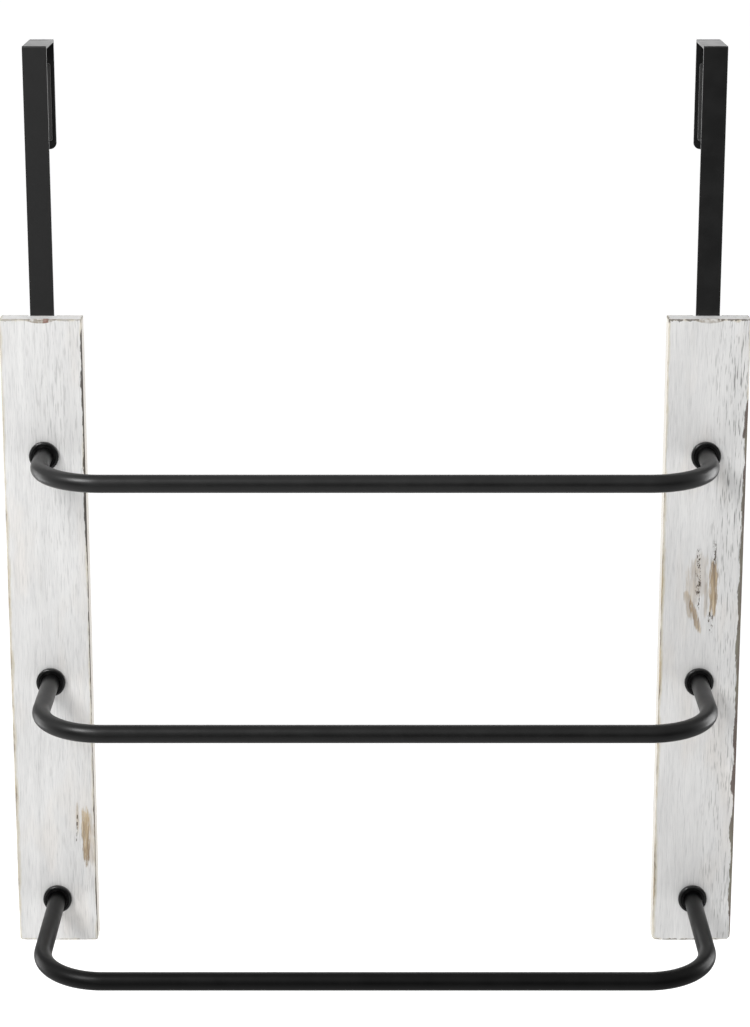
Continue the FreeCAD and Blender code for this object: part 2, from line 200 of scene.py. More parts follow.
# -------------------------------------------------------------- material helpers
class Nodes:
    """An emptied node tree, with short calls for the nodes that the looks share."""

    def __init__(self, tree, coordinates):
        self.tree = tree
        self.tree.nodes.clear()
        self.place = self.add("ShaderNodeTexCoord").outputs[coordinates]
        self.axes = self.add("ShaderNodeSeparateXYZ", {"Vector": self.place}).outputs

    def add(self, kind, inputs=None, **settings):
        node = self.tree.nodes.new(kind)
        for name, value in settings.items():
            setattr(node, name, value)
        for name, value in (inputs or {}).items():
            self.set(node.inputs[name], value)
        return node

    def set(self, socket, value):
        if isinstance(value, bpy.types.NodeSocket):
            self.tree.links.new(value, socket)
        else:
            socket.default_value = value

    def math(self, operation, a, b=0.0, clamp=False):
        node = self.add("ShaderNodeMath", operation=operation, use_clamp=clamp)
        self.set(node.inputs[0], a)
        self.set(node.inputs[1], b)
        return node.outputs[0]

    def remap(self, value, low, high, new_low=0.0, new_high=1.0):
        """Value from low..high to new_low..new_high, clamped and smooth."""
        node = self.add("ShaderNodeMapRange", interpolation_type="SMOOTHSTEP")
        for socket, number in zip(node.inputs, (value, low, high, new_low, new_high)):
            self.set(socket, number)
        return node.outputs[0]


class Material(Nodes):
    """The nodes of a material, in its object's own coordinates."""

    def __init__(self, name):
        self.made = bpy.data.materials.new(name)
        self.made.use_nodes = True
        super().__init__(self.made.node_tree, "Object")

    def noise(self, stretch, scale, detail=3.0, roughness=0.5, shift=(0, 0, 0)):
        """Noise whose features are 1 / scale metres wide, and longer by stretch."""
        squeeze = self.add("ShaderNodeMapping", {
            "Vector": self.place,
            "Location": shift,
            "Scale": tuple(1 / s for s in stretch)})
        node = self.add("ShaderNodeTexNoise", {
            "Vector": squeeze.outputs[0], "Scale": scale,
            "Detail": detail, "Roughness": roughness})
        return node.outputs[0]

    def mix(self, factor, a, b, blend="MIX"):
        node = self.add("ShaderNodeMix", data_type="RGBA", blend_type=blend)
        self.set(node.inputs[0], factor)
        self.set(node.inputs[6], a)
        self.set(node.inputs[7], b)
        return node.outputs[2]

    def ramp(self, factor, stops):
        node = self.add("ShaderNodeValToRGB", {"Fac": factor})
        ramp = node.color_ramp
        while len(ramp.elements) < len(stops):
            ramp.elements.new(1.0)
        for element, (position, colour) in zip(ramp.elements, stops):
            element.position = position
            element.color = colour
        return node.outputs[0]

    def bump(self, height, strength, distance):
        return self.add("ShaderNodeBump", {
            "Height": height, "Strength": strength, "Distance": distance}).outputs[0]

    def surface(self, **inputs):
        """Ends the material in one Principled shader. A socket's name is written
        with _ for its spaces."""
        shader = self.add("ShaderNodeBsdfPrincipled", {
            name.replace("_", " "): value for name, value in inputs.items()})
        output = self.add("ShaderNodeOutputMaterial")
        self.tree.links.new(shader.outputs[0], output.inputs[0])
        return self.made


def grey(value, warmth=0.0):
    """Linear colour of that brightness. Warmth tilts it from blue to yellow."""
    return (value * (1 + warmth), value, value * (1 - 2 * warmth), 1.0)


def rgb(red, green, blue):
    """A colour given in display values from 0 to 255, as a linear colour."""
    linear = []
    for value in (red, green, blue):
        share = value / 255
        linear.append(share / 12.92 if share < 0.04045 else ((share + 0.055) / 1.055) ** 2.4)
    return (*linear, 1.0)


# --------------------------------------------------------------------- materials
def scrape(wood, side, across, below_top, half_width, half_height, lean=0.0):
    """From 0 to 1, a long scrape through the paint, ragged at its rim. It is placed
    from the board's centre line and its top, in millimetres."""
    low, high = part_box(f"{side}_board")
    x = (low.x + high.x) / 2 + across * MM
    z = high.z - below_top * MM
    down = wood.math("SUBTRACT", z, wood.axes["Z"])
    away = wood.math("SUBTRACT", wood.axes["X"], x)
    away = wood.math("SUBTRACT", away, wood.math("MULTIPLY", down, lean))
    away = wood.math("DIVIDE", away, half_width * MM)
    down = wood.math("DIVIDE", down, half_height * MM)
    # the fourth power squares the scrape's ends off a little
    far = wood.math("ADD", wood.math("POWER", wood.math("ABSOLUTE", away), 2.0),
                    wood.math("POWER", wood.math("ABSOLUTE", down), 4.0))
    ragged = wood.noise((1, 1, 10), 1100, 4, 0.7, (0.3, 0.1, 0.7))
    ragged = wood.math("SUBTRACT", ragged, 0.5)
    far = wood.math("ADD", far, wood.math("MULTIPLY", ragged, 5.0))
    on_front = wood.remap(wood.axes["Y"], low.y + 0.5 * MM, low.y + 2 * MM, 1.0, 0.0)
    return wood.math("MULTIPLY", wood.remap(far, 0.4, 1.5, 1.0, 0.0), on_front)


def edge_distance(wood, side):
    """Distance to the nearest edge of the board: on a box's surface that is the
    middle one of the distances to its three pairs of faces."""
    low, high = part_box(f"{side}_board")
    middle = (low + high) / 2
    half = (high - low) / 2
    x, y, z = (
        wood.math("SUBTRACT", half[axis], wood.math(
            "ABSOLUTE", wood.math("SUBTRACT", wood.axes[axis], middle[axis])))
        for axis in range(3))
    return wood.math("MAXIMUM", wood.math("MINIMUM", x, y), wood.math(
        "MINIMUM", wood.math("MAXIMUM", x, y), z))


def grain_shift(side):
    """Moves the noise, so that the two boards differ."""
    return (0, 0, 0) if side == "left" else (1.7, 0.6, 2.3)


def brushed_paint(wood, side, brightness, streaky):
    """Colour and thickness of white paint brushed up and down. Darker streaks show
    through it, most of them where streaky says: (from, to, share), in millimetres
    across the board from its centre line."""
    low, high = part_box(f"{side}_board")
    shift = grain_shift(side)
    fine = wood.noise((1, 1, 22), 2100, 3, 0.6, shift)
    middle = wood.noise((1, 1, 20), 620, 4, 0.65, shift)
    broad = wood.noise((1, 1, 7), 70, 3, 0.5, shift)
    cover = wood.math("ADD", wood.math("MULTIPLY", middle, 0.4),
                      wood.math("MULTIPLY", fine, 0.6))
    colour = wood.ramp(cover, [
        (0.34, grey(0.64 * brightness, 0.002)),
        (0.43, grey(0.75 * brightness, 0.003)),
        (0.52, grey(0.80 * brightness, 0.005)),
        (0.66, grey(0.85 * brightness, 0.006)),
    ])
    tone = wood.remap(broad, 0.35, 0.65, 0.93, 1.0)
    colour = wood.mix(1.0, colour, wood.ramp(tone, [(0.0, grey(0.0)), (1.0, grey(1.0))]),
                      "MULTIPLY")
    cream = wood.remap(wood.noise((1, 1, 3), 45, 2, 0.5, (0.9, 0.2, 0.4)), 0.52, 0.72)
    colour = wood.mix(wood.math("MULTIPLY", cream, 0.2), colour,
                      wood.mix(1.0, colour, rgb(255, 243, 230), "MULTIPLY"))

    across = wood.math("SUBTRACT", wood.axes["X"], (low.x + high.x) / 2)
    share = wood.remap(across, streaky[0] * MM, streaky[1] * MM, 0.10, streaky[2])
    share = wood.math("MULTIPLY", share, wood.remap(
        wood.axes["Z"], high.z - 210 * MM, high.z - 110 * MM, 0.65, 1.0))
    streaks = wood.noise((1, 1, 15), 1250, 2, 0.55, (0.2, 0.5, shift[2] + 0.1))
    crowd = wood.remap(wood.noise((1, 1, 3), 110, 2, 0.5, (0.4, 0.1, 0.9)), 0.35, 0.65)
    streaks = wood.math("ADD", streaks, wood.math("MULTIPLY", crowd, 0.06))
    streaks = wood.remap(streaks, 0.58, 0.72)
    return wood.mix(wood.math("MULTIPLY", streaks, share), colour, rgb(104, 103, 101)), cover


def rubbed_edges(wood, side, colour):
    """Paint rubbed thin along every edge, and down to the wood in places. On the board's sides it
    is darker and yellower: painted shade that tones down the brightly lit sides, together with
    their own khaki tint."""
    low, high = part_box(f"{side}_board")
    edge = edge_distance(wood, side)
    reach = wood.math("MULTIPLY", wood.math("SUBTRACT", wood.noise(
        (1, 1, 4), 160, 4, 0.7, grain_shift(side)), 0.40), 6.0 * MM)
    lower_left = wood.math("MULTIPLY", wood.remap(
        wood.axes["X"], low.x + 6 * MM, low.x + 2 * MM, 0.0, 0.9 * MM), wood.remap(
        wood.axes["Z"], high.z - 160 * MM, high.z - 60 * MM, 1.0, 0.25))
    reach = wood.math("ADD", reach, lower_left)
    rubbed = wood.math("SUBTRACT", reach, edge)
    stain = wood.remap(rubbed, -1.3 * MM, 0.6 * MM)
    colour = wood.mix(wood.math("MULTIPLY", stain, 0.75), colour, rgb(200, 192, 172))
    # painted shade on the board's sides, mixed with their khaki tint
    off_side = wood.math("SUBTRACT", (high.x - low.x) / 2, wood.math(
        "ABSOLUTE", wood.math("SUBTRACT", wood.axes["X"], (low.x + high.x) / 2)))
    side_shade_and_tint = wood.remap(off_side, 0.25 * MM, 0.5 * MM, 0.55, 0.0)
    colour = wood.mix(side_shade_and_tint, colour, rgb(218, 212, 200))
    bare = wood.remap(rubbed, 0.35 * MM, 1.6 * MM)
    bare_colour = wood.ramp(wood.noise((1, 1, 6), 300, 3, 0.6, (0.8, 0.3, 0.2)), [
        (0.38, rgb(92, 80, 70)),
        (0.50, rgb(140, 126, 106)),
        (0.62, rgb(178, 160, 128)),
    ])
    return wood.mix(wood.math("MULTIPLY", bare, 0.8), colour, bare_colour)


def dark_right_edge(wood, side, colour, start, end, wide, tones):
    """Ragged dark line down the front's right edge, from start to end below the
    board's top. All three are in millimetres."""
    low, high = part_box(f"{side}_board")
    top, bottom = high.z - start * MM, high.z - end * MM
    along = wood.math("MULTIPLY", wood.remap(wood.axes["Z"], bottom - 25 * MM, bottom, 0.45),
                      wood.remap(wood.axes["Z"], top, top + 8 * MM, 1.0, 0.0))
    right = wood.math("SUBTRACT", high.x, wood.axes["X"])
    width = wood.math("MULTIPLY", wood.math("SUBTRACT", wood.noise(
        (1, 1, 5), 240, 4, 0.7, (0.6, 0.6, 0.1)), 0.20), wide / 0.3 * MM)
    width = wood.math("MULTIPLY", width, along)
    dark = wood.remap(wood.math("SUBTRACT", width, right), -0.1 * MM, 0.35 * MM)
    on_front = wood.remap(wood.axes["Y"], low.y + 0.5 * MM, low.y + 0.9 * MM, 1.0, 0.0)
    dark = wood.math("MULTIPLY", dark, on_front)
    dark_colour = wood.ramp(wood.noise((1, 1, 5), 160, 3, 0.6, (0.5, 0.1, 0.8)), [
        (0.40, tones[0]), (0.60, tones[1])])
    return wood.mix(wood.math("MULTIPLY", dark, 0.9), colour, dark_colour)


def uneven_wear(wood):
    return wood.noise((1, 1, 1), 330, 3, 0.6, (0.7, 0.2, 0.5))


def notch_finish(wood, side, colour, chip_strength):
    """Pale lens of the notch, with its worn rim and a red-brown chip."""
    low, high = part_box(f"{side}_board")
    middle, up = notch_axes(side)
    height = wood.math("SUBTRACT", wood.axes["Z"], middle.z)
    ahead = wood.math("SUBTRACT", wood.axes["Y"], middle.y)
    b = wood.math("ADD", wood.math("MULTIPLY", height, up.z),
                  wood.math("MULTIPLY", ahead, up.y))
    a = wood.math("SUBTRACT", wood.axes["X"], middle.x)
    far = wood.math("SQRT", wood.math("ADD", wood.math("MULTIPLY", a, a),
                                      wood.math("MULTIPLY", b, b)))
    near_top = wood.remap(wood.axes["Z"], high.z - 6 * MM, high.z - 5 * MM)
    lens = wood.remap(far, NOTCH_RADIUS + 0.1 * MM, NOTCH_RADIUS + 0.3 * MM, 1.0, 0.0)
    lens = wood.math("MULTIPLY", wood.math("MULTIPLY", lens, near_top), wood.remap(
        wood.axes["Y"], low.y + 0.2 * MM, low.y + 0.5 * MM))
    colour = wood.mix(wood.math("MULTIPLY", lens, 0.85), colour, grey(0.76, 0.004))

    off_rim = wood.math("ABSOLUTE", wood.math("SUBTRACT", far, NOTCH_RADIUS + 0.25 * MM))
    rim = wood.math("MULTIPLY", wood.remap(off_rim, 0.2 * MM, 0.55 * MM, 1.0, 0.0), near_top)
    worn = wood.math("MULTIPLY", rim, wood.remap(uneven_wear(wood), 0.35, 0.6, 0.3, 0.9))
    colour = wood.mix(worn, colour, rgb(146, 136, 122))
    chip = wood.math("MULTIPLY", rim, wood.remap(a, 1.5 * MM, 2.5 * MM, 0.0, chip_strength))
    chip = wood.math("MULTIPLY", chip, wood.remap(a, 5 * MM, 6 * MM, 1.0, 0.0))
    return wood.mix(chip, colour, rgb(120, 76, 60))


def rough_ends(wood, side, colour, strength):
    """Dark broken lines along the edges of the board's two ends."""
    low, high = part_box(f"{side}_board")
    off_end = wood.math("SUBTRACT", edge_distance(wood, side), wood.math(
        "MULTIPLY", wood.math("SUBTRACT", uneven_wear(wood), 0.38), 5.0 * MM))
    broken = wood.remap(off_end, 0.0, 0.3 * MM, strength, 0.0)
    at_top = wood.remap(wood.axes["Z"], high.z - 3 * MM, high.z - 1.5 * MM)
    at_bottom = wood.remap(wood.axes["Z"], low.z + 1 * MM, low.z + 2 * MM, 1.0, 0.0)
    broken = wood.math("MULTIPLY", broken, wood.math("ADD", at_top, at_bottom))
    return wood.mix(broken, colour, rgb(98, 92, 86))


def whitewashed_wood(side, brightness, streaky, scrapes, cracks, dark_edge, chip, ends):
    """Brushed white paint over brown wood, rubbed, scraped and cracked."""
    wood = Material(f"{side}_whitewash")
    colour, depth = brushed_paint(wood, side, brightness, streaky)
    roughness = wood.remap(depth, 0.35, 0.65, 0.72, 0.58)
    colour = rubbed_edges(wood, side, colour)
    colour = dark_right_edge(wood, side, colour, *dark_edge)
    colour = notch_finish(wood, side, colour, chip)
    colour = rough_ends(wood, side, colour, ends)

    under_paint = wood.ramp(wood.noise((1, 1, 14), 700, 3, 0.6, (0.1, 0.2, 0.8)), [
        (0.36, rgb(134, 114, 90)),
        (0.50, rgb(166, 144, 112)),
        (0.64, rgb(200, 182, 152)),
    ])
    for opacity, *place in scrapes:
        mask = wood.math("MULTIPLY", scrape(wood, side, *place), opacity)
        colour = wood.mix(mask, colour, under_paint)
        depth = wood.math("SUBTRACT", depth, wood.math("MULTIPLY", mask, 0.5))
    for solid, *place in cracks:
        mask = scrape(wood, side, *place)
        broken = wood.remap(wood.noise((1, 1, 2.2), 900, 3, 0.7, (0.5, 0.9, 0.3)),
                            0.53 - solid, 0.58 - solid)
        mask = wood.math("MULTIPLY", mask, broken)
        colour = wood.mix(mask, colour, rgb(86, 76, 66))
        depth = wood.math("SUBTRACT", depth, mask)
    return wood.surface(
        Base_Color=colour, Roughness=roughness, Specular_IOR_Level=0.35,
        Normal=wood.bump(depth, 0.35, 0.35 * MM))


def satin_black(name, tone, shine):
    """Fine-grained black powder coat."""
    coat = Material(name)
    grain = coat.noise((1, 1, 1), 2600, 2, 0.5)
    haze = coat.noise((1, 1, 1), 60, 3, 0.6, (0.4, 0.1, 0.2))
    colour = coat.ramp(haze, [(0.35, grey(tone)), (0.65, grey(1.35 * tone))])
    return coat.surface(
        Base_Color=colour, Roughness=coat.remap(haze, 0.3, 0.7, 0.31, 0.38),
        Specular_IOR_Level=shine, Normal=coat.bump(grain, 0.12, 0.08 * MM))


def gloss_black():
    """Moulded collars: glossier and darker than the tubes."""
    gloss = Material("gloss_black")
    haze = gloss.noise((1, 1, 1), 260, 3, 0.6)
    colour = gloss.ramp(haze, [(0.4, grey(0.006)), (0.65, grey(0.011))])
    return gloss.surface(
        Base_Color=colour, Roughness=gloss.remap(haze, 0.35, 0.65, 0.16, 0.26),
        Specular_IOR_Level=0.5, Normal=gloss.bump(haze, 0.05, 0.1 * MM))


def zinc():
    """Bright zinc plate with its faint blue and yellow clouds."""
    plate = Material("zinc_plate")
    cloud = plate.noise((1, 1, 1), 420, 3, 0.6)
    scratch = plate.noise((1, 8, 1), 3000, 2, 0.6, (0.2, 0.4, 0.6))
    colour = plate.ramp(cloud, [
        (0.36, rgb(158, 164, 172)), (0.50, rgb(176, 178, 176)), (0.64, rgb(184, 180, 164))])
    return plate.surface(
        Base_Color=colour, Metallic=1.0, Roughness=plate.remap(cloud, 0.3, 0.7, 0.28, 0.42),
        Normal=plate.bump(scratch, 0.08, 0.05 * MM))


def bare_steel():
    """Turned steel of the plugs in the tubes."""
    steel = Material("turned_steel")
    rings = steel.noise((8, 1, 8), 2400, 2, 0.5)
    colour = steel.ramp(rings, [(0.38, rgb(126, 126, 124)), (0.62, rgb(164, 163, 158))])
    return steel.surface(
        Base_Color=colour, Metallic=1.0, Roughness=steel.remap(rings, 0.3, 0.7, 0.3, 0.45),
        Normal=steel.bump(rings, 0.15, 0.05 * MM))


def felt():
    """Pressed black felt: short tangled fibres and a soft sheen."""
    cloth = Material("black_felt")
    fibre = cloth.noise((1, 1, 1), 2200, 5, 0.75)
    tangle = cloth.noise((1, 1, 1), 420, 3, 0.6, (0.3, 0.3, 0.1))
    colour = cloth.ramp(fibre, [
        (0.36, grey(0.010)), (0.52, grey(0.022)), (0.68, grey(0.060, 0.02))])
    height = cloth.math("ADD", fibre, cloth.math("MULTIPLY", tangle, 0.6))
    return cloth.surface(
        Base_Color=colour, Roughness=0.95, Specular_IOR_Level=0.15, Sheen_Weight=0.5,
        Sheen_Roughness=0.5, Normal=cloth.bump(height, 0.9, 0.3 * MM))


# ------------------------------------------------------------------------ boards
RIM_STEPS = (0, 0.15, 0.32, 0.52, 0.75, 1.0, 1.3, 1.65, 2.1, 2.7)


def stations(low, high, step):
    """Places from low to high: close together near both ends, about step apart
    between them."""
    rim = [value * MM for value in RIM_STEPS]
    inner_low = low + rim[-1]
    inner_high = high - rim[-1]
    count = max(1, round((inner_high - inner_low) / step))
    between = [inner_low + (inner_high - inner_low) * i / count for i in range(1, count)]
    return [low + r for r in rim] + between + [high - r for r in reversed(rim)]


def box_shell(xs, ys, zs):
    """Points and faces of a box's surface, divided at xs, ys and zs."""
    last = (len(xs) - 1, len(ys) - 1, len(zs) - 1)
    numbers = {}
    points = []

    def corner(i, j, k):
        if (i, j, k) not in numbers:
            numbers[(i, j, k)] = len(points)
            points.append(Vector((xs[i], ys[j], zs[k])))
        return numbers[(i, j, k)]

    faces = []
    for axis in range(3):
        one, two = (a for a in range(3) if a != axis)
        for side in (0, last[axis]):
            for a in range(last[one]):
                for b in range(last[two]):
                    quad = []
                    for da, db in ((0, 0), (1, 0), (1, 1), (0, 1)):
                        place = [0, 0, 0]
                        place[axis] = side
                        place[one] = a + da
                        place[two] = b + db
                        quad.append(corner(*place))
                    faces.append(tuple(quad))
    return points, faces


def wear(point, low, high, side):
    """Radius of the board's edges here, from crisp to rubbed round."""
    seed = Vector((0, 0, 0)) if side == "left" else Vector((3.1, 1.7, 5.3))
    slow = noise.fractal(point * 28 + seed, 1.0, 2.0, 3)
    quick = noise.fractal(point * 240 + seed, 1.0, 2.0, 2)
    radius = (0.75 + 0.5 * slow + 0.25 * quick) * MM
    to_corner = math.hypot(min(point.x - low.x, high.x - point.x), point.z - low.z)
    corner = (1.0 if side == "left" else 2.2) * math.exp(-to_corner / (5 * MM)) * MM
    return min(max(radius, 0.35 * MM) + corner, 3.5 * MM)


def relief(point, normal, side):
    """How far the surface lies below the board's flat faces: brushed grain, slow
    waves and the odd dent."""
    seed = Vector((1.3, 0.2, 0.8)) if side == "left" else Vector((4.4, 2.9, 0.1))
    along = Vector((point.x * 520, point.y * 520, point.z * 34))
    grain = abs(noise.noise(along + seed))
    wave = 0.5 + 0.5 * noise.noise(Vector((point.x * 40, point.y * 40, point.z * 9)) + seed)
    dent = max(0.0, noise.noise(Vector((point.x * 150, point.y * 150, point.z * 45)) - seed) - 0.42)
    end_grain = 0.3 if abs(normal.z) > 0.7 else 1.0
    return end_grain * (0.09 * grain + 0.10 * wave + 0.5 * dent) * MM


def worn_box(side):
    """The board's blank, with worn edges and grain."""
    low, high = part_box(f"{side}_board")
    xs = stations(low.x, high.x, 1.1 * MM)
    ys = stations(low.y, high.y, 1.5 * MM)
    zs = stations(low.z, high.z, 2.0 * MM)
    points, faces = box_shell(xs, ys, zs)
    moved = []
    for point in points:
        radius = wear(point, low, high, side)
        core = Vector(
            min(max(point[axis], low[axis] + radius), high[axis] - radius)
            for axis in range(3))
        normal = (point - core).normalized()
        rounded = core + normal * radius
        moved.append(rounded - normal * relief(point, normal, side))
    return moved, faces


def board_bore(side, row):
    """Stepped hole for a bar: counterbore, clearance hole and the tube's socket."""
    centre = centre_of(f"{side}_{row}_collar")
    low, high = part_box(f"{side}_board")
    tube_low, tube_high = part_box(f"{row}_bar")
    socket = (tube_high.z - tube_low.z) / 2 + FIT_GAP
    profile = [
        (socket, low.y - 1 * MM),
        (socket, low.y + SOCKET_DEPTH),
        (CLEARANCE_RADIUS, low.y + SOCKET_DEPTH),
        (CLEARANCE_RADIUS, high.y - COUNTERBORE_DEPTH),
        (COUNTERBORE_RADIUS, high.y - COUNTERBORE_DEPTH),
        (COUNTERBORE_RADIUS, high.y + 1 * MM),
    ]
    return turned(profile, centre, 64, "caps")


def board_pilot(side, place):
    """Hole for a hook screw."""
    low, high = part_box(f"{side}_{place}_hook_screw")
    radius = SCREW_SHANK_RADIUS + FIT_GAP / 2
    profile = [(radius, low.y - FIT_GAP), (radius, high.y + 1 * MM)]
    return turned(profile, (low + high) / 2, 32, "caps")


def board_groove(side):
    """Groove in the back for the hook's tail, rounded at its lower end."""
    low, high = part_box(f"{side}_board")
    hook_low, hook_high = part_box(f"{side}_door_hook")
    x = (low.x + high.x) / 2
    radius = GROOVE_WIDTH / 2
    end = hook_low.z - GROOVE_SPARE
    outline = [(x + radius, high.z + 1 * MM), (x - radius, high.z + 1 * MM)]
    outline += arc((x, end), radius, 180, 360, 24)
    rings = [[Vector((a, y, b)) for a, b in outline]
             for y in (high.y - GROOVE_DEPTH, high.y + 1 * MM)]
    return skin(rings, "caps")


NOTCH_AXIS = Vector((0, 1, 1)).normalized()


def notch_axes(side):
    """Middle of the cylinder that shaves the notch, and the direction square to its
    axis and to X. The axis is tilted 45 degrees."""
    low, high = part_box(f"{side}_board")
    reach = math.sqrt(NOTCH_RADIUS ** 2 - (NOTCH_WIDTH / 2) ** 2) / math.sqrt(2)
    middle = Vector(((low.x + high.x) / 2, low.y - reach, high.z + reach))
    return middle, Vector((0, -1, 1)).normalized()


def board_notch(side):
    """Large tilted cylinder that shaves a lens off the front edge."""
    middle, up = notch_axes(side)
    outline = arc((0, 0), NOTCH_RADIUS, 0, 360, 240)[:-1]
    rings = [[middle + NOTCH_AXIS * end + Vector((a, 0, 0)) + up * b for a, b in outline]
             for end in (-20 * MM, 20 * MM)]
    return skin(rings, "caps")


def build_board(side, material):
    board = new_object(f"worn_{side}_board", *worn_box(side))
    subtract(board, *board_notch(side))
    subtract(board, *board_groove(side))
    for row in ROWS:
        subtract(board, *board_bore(side, row))
    for place in PLACES:
        subtract(board, *board_pilot(side, place))
    finish_piece(board, material, f"{side}_board", 40)


# ------------------------------------------------------------------------- hooks
def strap_line(side):
    """The strap from its tail over the door to the end of its rear leg, as pairs of
    points (y, z): one on its outer side and one on its inner side."""
    low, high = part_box(f"{side}_door_hook")
    rear_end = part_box(f"{side}_hook_pad")[0].z - PAD_MARGIN
    outer_top = high.z - STRAP_OUTER_BEND
    inner_top = high.z - STRAP_THICKNESS - STRAP_INNER_BEND
    line = []

    def straight(outer_y, inner_y, start, end, steps):
        for i in range(steps + 1):
            z = start + (end - start) * i / steps
            line.append(((outer_y, z), (inner_y, z)))

    def bend(outer_y, inner_y, start):
        outer = arc((outer_y, outer_top), STRAP_OUTER_BEND, start, start - 90, 8)
        inner = arc((inner_y, inner_top), STRAP_INNER_BEND, start, start - 90, 8)
        line.extend(zip(outer, inner))

    rounded = STRAP_CORNER + 1 * MM
    front = (low.y, low.y + STRAP_THICKNESS)
    back = (high.y, high.y - STRAP_THICKNESS)
    straight(*front, low.z, low.z + rounded, 18)
    straight(*front, low.z + 2 * rounded, inner_top - 1 * MM, 30)
    bend(low.y + STRAP_OUTER_BEND, front[1] + STRAP_INNER_BEND, 180)
    bend(high.y - STRAP_OUTER_BEND, back[1] - STRAP_INNER_BEND, 90)
    straight(*back, inner_top - 1 * MM, rear_end + 2 * rounded, 12)
    straight(*back, rear_end + rounded, rear_end, 18)
    return line


def rounding(distance, radius):
    """How much narrower a rounded end is, at that distance from its tip."""
    if distance >= radius:
        return 0.0
    return radius - math.sqrt(radius ** 2 - (radius - distance) ** 2)


def strap_section(half_width, half_thickness):
    """Outline of the flat steel with softened edges, as (x, offset)."""
    soft = min(STRAP_EDGE, 0.9 * half_thickness, 0.9 * half_width)
    outline = []
    for sx, sy, start in ((1, 1, 0), (-1, 1, 90), (-1, -1, 180), (1, -1, 270)):
        centre = (sx * (half_width - soft), sy * (half_thickness - soft))
        outline += arc(centre, soft, start, start + 90, 5)
    return outline


def build_hook(side, material):
    """The strap is swept along its line, and narrows to its rounded ends."""
    low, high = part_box(f"{side}_door_hook")
    x = (low.x + high.x) / 2
    half_width = (high.x - low.x) / 2
    line = strap_line(side)
    lengths = [0.0]
    for (_, start), (_, end) in zip(line, line[1:]):
        lengths.append(lengths[-1] + math.dist(start, end))
    rings = []
    for (outer, inner), length in zip(line, lengths):
        tip = min(length, lengths[-1] - length)
        half = math.dist(outer, inner) / 2
        narrow = half_width - rounding(tip, STRAP_CORNER)
        thin = half - rounding(tip, STRAP_EDGE)
        y, z = (outer[0] + inner[0]) / 2, (outer[1] + inner[1]) / 2
        out_y, out_z = (outer[0] - y) / half, (outer[1] - z) / half
        rings.append([Vector((x + a, y + b * out_y, z + b * out_z))
                      for a, b in strap_section(narrow, thin)])
    hook = new_object(f"{side}_strap_hook", *skin(rings, "caps"))
    for place in PLACES:
        subtract(hook, *hook_hole(side, place))
    finish_piece(hook, material, f"{side}_door_hook", 50)
    keep_flats_flat(hook)


def hook_hole(side, place):
    """Countersunk hole in the hook's tail."""
    low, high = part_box(f"{side}_{place}_hook_screw")
    sink = SCREW_HEAD_RADIUS + FIT_GAP
    bore = SCREW_SHANK_RADIUS + FIT_GAP
    profile = [
        (sink + 1 * MM, high.y + 1 * MM),
        (bore, high.y - (sink - bore)),
        (bore, high.y - 4 * MM),
    ]
    return turned(profile, (low + high) / 2, 64, "caps")


# -------------------------------------------------------------------------- bars
def bar_line(row):
    """Centre line of a bar, as (x, y, direction in degrees), from its left end."""
    low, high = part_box(f"{row}_bar")
    radius = (high.z - low.z) / 2
    half = high.x - radius
    rail = low.y + radius
    turn_in = rail + BEND_RADIUS
    line = [(-half, high.y - TUBE_LIP, -90)]
    line += [(-half, high.y + (turn_in - high.y) * i / 6, -90) for i in range(1, 6)]
    steps = 36
    for i in range(steps + 1):
        turn = math.radians(180 + 90 * i / steps)
        line.append((-half + BEND_RADIUS + BEND_RADIUS * math.cos(turn),
                     turn_in + BEND_RADIUS * math.sin(turn), 90 * i / steps - 90))
    span = half - BEND_RADIUS
    line += [(-span + 2 * span * i / 24, rail, 0) for i in range(1, 24)]
    mirrored = [(-x, y, -direction) for x, y, direction in reversed(line)
                if x < -span + 1e-9]
    return line + mirrored, radius


def build_bar(row, material):
    """Hollow tube: an outer skin and an inner one that meet in a rounded lip."""
    line, radius = bar_line(row)
    z = centre_of(f"{row}_bar").z
    segments = 56

    def ring(station, radius):
        x, y, direction = station
        turn = math.radians(direction + 90)
        points = []
        for step in range(segments):
            around = 2 * math.pi * step / segments
            out = radius * math.cos(around)
            points.append(Vector((x + out * math.cos(turn), y + out * math.sin(turn),
                                  z + radius * math.sin(around))))
        return points

    def lip(end):
        x, y, direction = line[end]
        tip = (x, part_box(f"{row}_bar")[1].y, direction)
        return [ring(tip, radius - TUBE_LIP), ring(tip, radius - TUBE_WALL + TUBE_LIP)]

    outer = [ring(station, radius) for station in line]
    inner = [ring(station, radius - TUBE_WALL) for station in line]
    rings = outer + lip(-1) + inner[::-1] + lip(0)[::-1]
    bar = new_object(f"{row}_tube_bar", *skin(rings, "loop"))
    finish_piece(bar, material, f"{row}_bar", 45)


# ----------------------------------------------------------------------- collars
def build_collar(side, row, material):
    """Turned ring: straight wall, rounded rim and a shallow dish round the tube."""
    node = f"{side}_{row}_collar"
    low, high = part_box(node)
    outside = (high.x - low.x) / 2
    tube_low, tube_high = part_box(f"{row}_bar")
    bore = (tube_high.z - tube_low.z) / 2 + FIT_GAP
    rim = 1.1 * MM
    front = low.y
    dish = 0.55 * MM
    profile = [
        (bore, high.y),
        (outside - 0.3 * MM, high.y),
        (outside, high.y - 0.3 * MM),
        (outside, high.y - 1.2 * MM),
    ]
    profile += arc((outside - rim, front + rim), rim, 0, -90, 10)
    profile += arc((outside - rim - 0.3 * MM, front + 0.9 * MM), 0.9 * MM, 270, 225, 4)[1:]
    profile += [
        (bore + 1.3 * MM, front + dish),
        (bore + 0.3 * MM, front + dish - 0.1 * MM),
        (bore, front + dish + 0.2 * MM),
    ]
    collar = new_object(f"{side}_{row}_ring_collar",
                        *turned(profile, (low + high) / 2, 96, "loop"))
    finish_piece(collar, material, node, 60)


